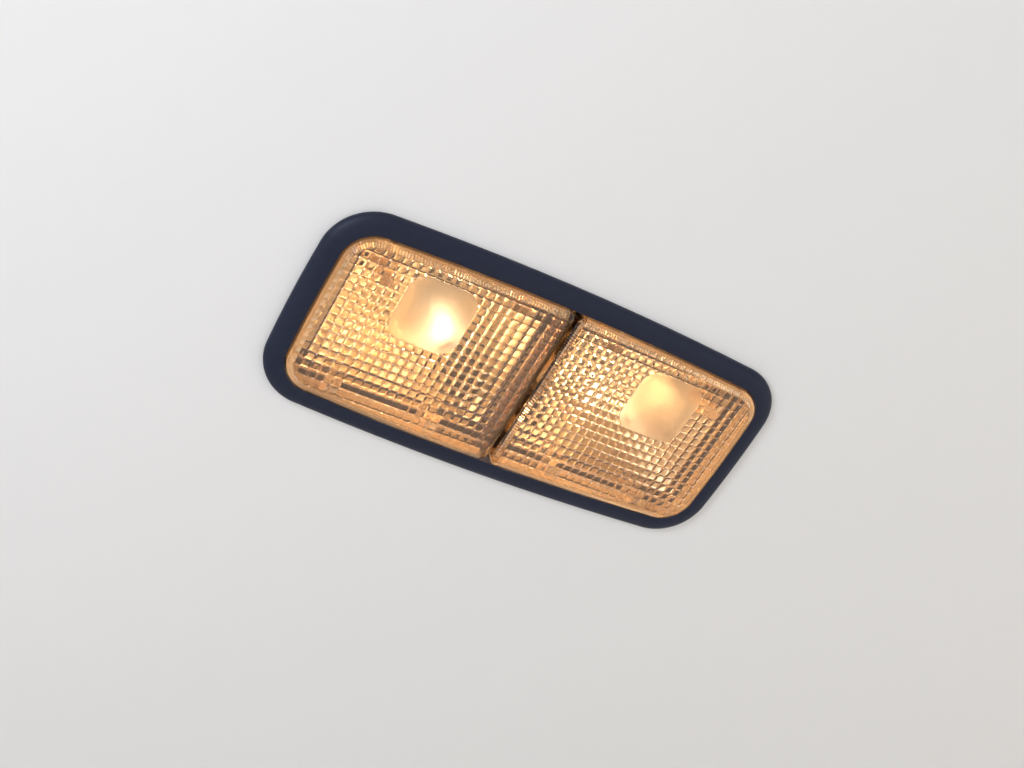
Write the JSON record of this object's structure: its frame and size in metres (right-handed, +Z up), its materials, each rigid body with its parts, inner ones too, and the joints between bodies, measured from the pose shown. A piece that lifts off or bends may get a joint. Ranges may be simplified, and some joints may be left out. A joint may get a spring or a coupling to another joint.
{
  "type": "car interior light",
  "caption": "Recessed car roof map light: dark oval-cornered bezel, clear pillow-grid press lenses with smooth finger pads, each tilting on hinge pins to work a push switch; bulbs and reflectors behind",
  "frame": {"origin": "middle of the roof face of the bezel flange, the plane that lies against the roof lining", "axes": "+Z points up into the roof and the lenses face -Z; X runs along the light; the finger pads lie towards -Y and the lens hinges towards +Y"},
  "size_m": [0.143, 0.064, 0.0496],
  "materials": {
    "bezel_plastic": "moulded, fine matte grain, dark blue-black",
    "case_plastic": "moulded black polypropylene",
    "lens_plastic": "clear moulded polycarbonate with pillow optics",
    "reflector_plastic": "bright white moulded plastic",
    "bulb_glass": "clear glass",
    "filament_wire": "glowing tungsten wire",
    "holder_plastic": "moulded heat-resistant nylon",
    "contact_brass": "stamped brass",
    "switch_plastic": "moulded black acetal",
    "plunger_plastic": "moulded natural acetal",
    "spring_steel": "bright spring steel",
    "connector_plastic": "moulded natural nylon",
    "screw_steel": "zinc-plated steel"
  },
  "bodies": {
    "housing": {"bezel": "bezel_plastic", "rear_case": "case_plastic", "reflector_left": "reflector_plastic", "reflector_right": "reflector_plastic", "bulb_glass_left": "bulb_glass", "bulb_glass_right": "bulb_glass", "filament_left": "filament_wire", "filament_right": "filament_wire", "bulb_holder_left": "holder_plastic", "bulb_holder_right": "holder_plastic", "socket_contacts_left": "contact_brass", "socket_contacts_right": "contact_brass", "switch_body_left": "switch_plastic", "switch_body_right": "switch_plastic", "switch_spring_left": "spring_steel", "switch_spring_right": "spring_steel", "feed_strip": "contact_brass", "ground_strip": "contact_brass", "switched_strip_left": "contact_brass", "switched_strip_right": "contact_brass", "connector_shell": "connector_plastic", "connector_pins": "contact_brass", "spring_clips": "spring_steel", "case_screws": "screw_steel"},
    "left_lens": {"lens_left": "lens_plastic"},
    "right_lens": {"lens_right": "lens_plastic"},
    "left_plunger": {"switch_plunger_left": "plunger_plastic"},
    "right_plunger": {"switch_plunger_right": "plunger_plastic"}
  },
  "joints": [
    {"name": "left_lens_press", "type": "hinge", "parent": "housing", "child": "left_lens", "pos_m": [-0.035, 0.022, 0.0056], "axis": [-1, 0, 0], "range_deg": [0, 2.5], "stiffness_Nm_per_rad": 0.4, "springref_deg": -11.46},
    {"name": "right_lens_press", "type": "hinge", "parent": "housing", "child": "right_lens", "pos_m": [0.035, 0.022, 0.0056], "axis": [-1, 0, 0], "range_deg": [0, 2.5], "stiffness_Nm_per_rad": 0.4, "springref_deg": -11.46},
    {"name": "left_plunger_slide", "type": "slide", "parent": "housing", "child": "left_plunger", "axis": [0, 0, 1], "range_m": [0, 0.0016], "stiffness_N_per_m": 5, "springref_m": -0.002, "deforming": ["switch_spring_left"]},
    {"name": "right_plunger_slide", "type": "slide", "parent": "housing", "child": "right_plunger", "axis": [0, 0, 1], "range_m": [0, 0.0016], "stiffness_N_per_m": 5, "springref_m": -0.002, "deforming": ["switch_spring_right"]}
  ],
  "couplings": [
    {"joint": "left_plunger_slide", "follows": "left_lens_press", "m_per_rad": 0.036},
    {"joint": "right_plunger_slide", "follows": "right_lens_press", "m_per_rad": 0.036}
  ]
}
